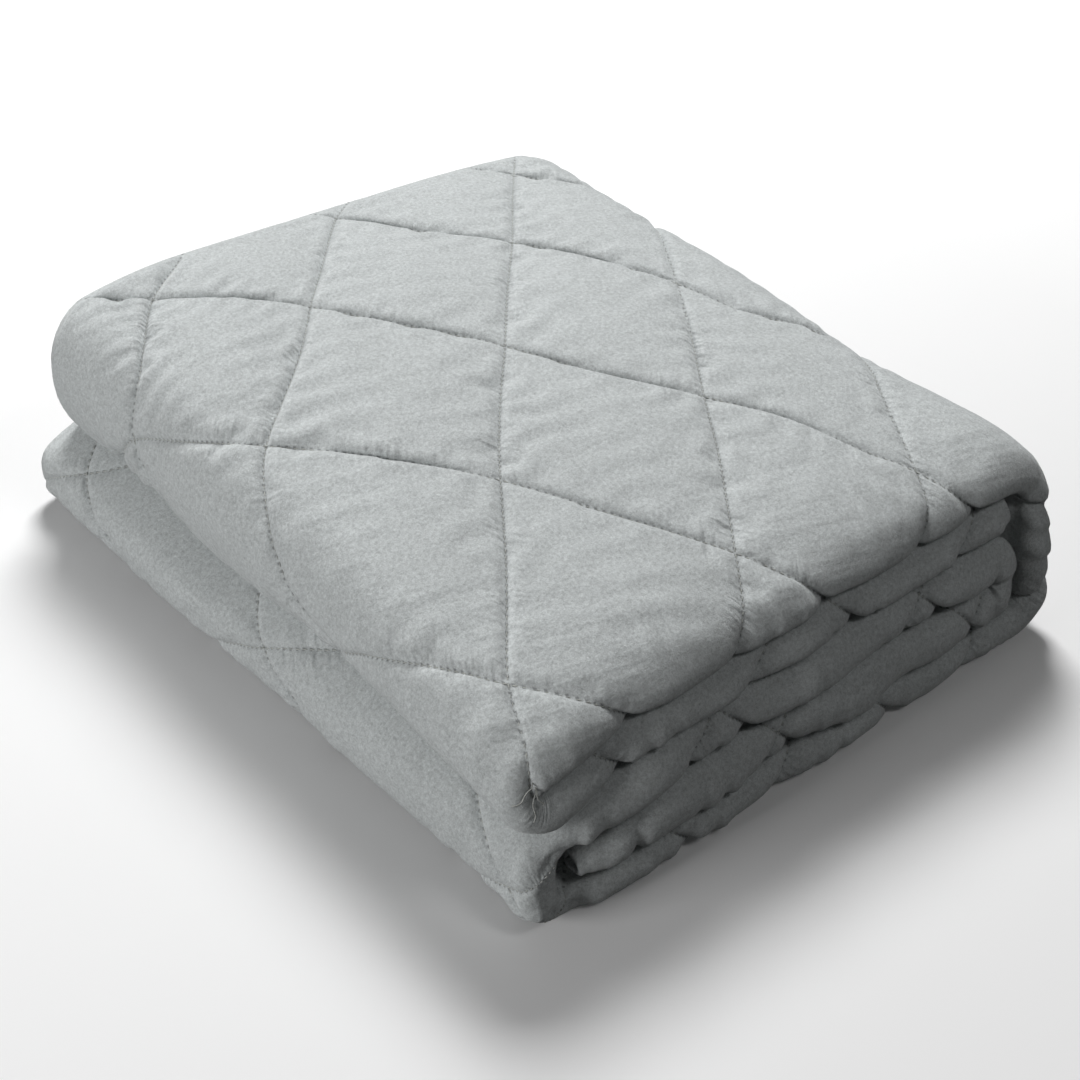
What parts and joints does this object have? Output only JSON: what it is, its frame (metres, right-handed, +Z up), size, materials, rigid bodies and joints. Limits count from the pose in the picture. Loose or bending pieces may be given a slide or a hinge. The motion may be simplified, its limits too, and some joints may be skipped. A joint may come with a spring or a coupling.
{
  "type": "folded quilted blanket",
  "caption": "Quilted blanket folded flat into a rectangular bundle, for laying on a bed, sofa or shelf.",
  "frame": {"origin": "middle of the footprint, on the surface that the blanket lies on", "axes": "+Z up, +X along the layered end towards the spine fold, +Y along the rolled side towards the hemmed end"},
  "size_m": [0.4679, 0.508, 0.1589],
  "materials": {
    "microfibre": "brushed microfibre, matt, pale grey"
  },
  "bodies": {
    "root": {"quilt": "microfibre"}
  },
  "joints": []
}
